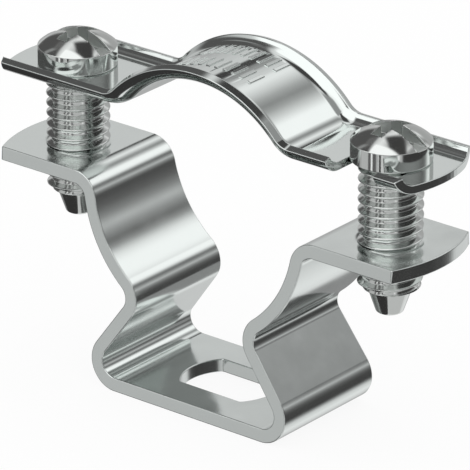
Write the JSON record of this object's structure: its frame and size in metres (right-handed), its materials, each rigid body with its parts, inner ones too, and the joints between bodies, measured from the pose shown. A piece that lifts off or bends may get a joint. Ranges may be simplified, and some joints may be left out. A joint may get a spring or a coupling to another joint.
{
  "type": "conduit strap",
  "caption": "Stand-off conduit strap: a folded bracket with a saddle, a rimmed arched strap over it and a clamping screw at each end.",
  "frame": {"origin": "middle of the fixing slot, on the face that is fixed to the wall", "axes": "+X along the strap, towards the end with the hook slot; +Y along the conduit, away from the side that the hook slot opens to; +Z out of the wall"},
  "size_m": [0.0488, 0.0132, 0.0341],
  "materials": {
    "bracket_steel": "bright zinc plating on rolled steel strip",
    "strap_steel": "bright zinc plating on pressed steel strip",
    "screw_steel": "bright zinc plating on a rolled screw"
  },
  "bodies": {
    "bracket": {"base_bracket": "bracket_steel"},
    "strap": {"clamp_strap": "strap_steel"},
    "left_clamp_screw": {"left_screw": "screw_steel"},
    "right_clamp_screw": {"right_screw": "screw_steel"}
  },
  "joints": [
    {"name": "clamp_travel", "type": "slide", "parent": "bracket", "child": "strap", "axis": [0, 0, 1], "range_m": [-0.0068, 0.003]},
    {"name": "left_screw_turn", "type": "hinge", "parent": "strap", "child": "left_clamp_screw", "pos_m": [-0.0184, 0, 0.02854], "axis": [0, 0, 1], "range_deg": [-2448, 1080]},
    {"name": "right_screw_turn", "type": "hinge", "parent": "strap", "child": "right_clamp_screw", "pos_m": [0.0184, 0, 0.02854], "axis": [0, 0, 1], "range_deg": [-2448, 1080]}
  ],
  "couplings": [
    {"joint": "left_screw_turn", "follows": "clamp_travel", "rad_per_m": 6283.2},
    {"joint": "right_screw_turn", "follows": "clamp_travel", "rad_per_m": 6283.2}
  ]
}
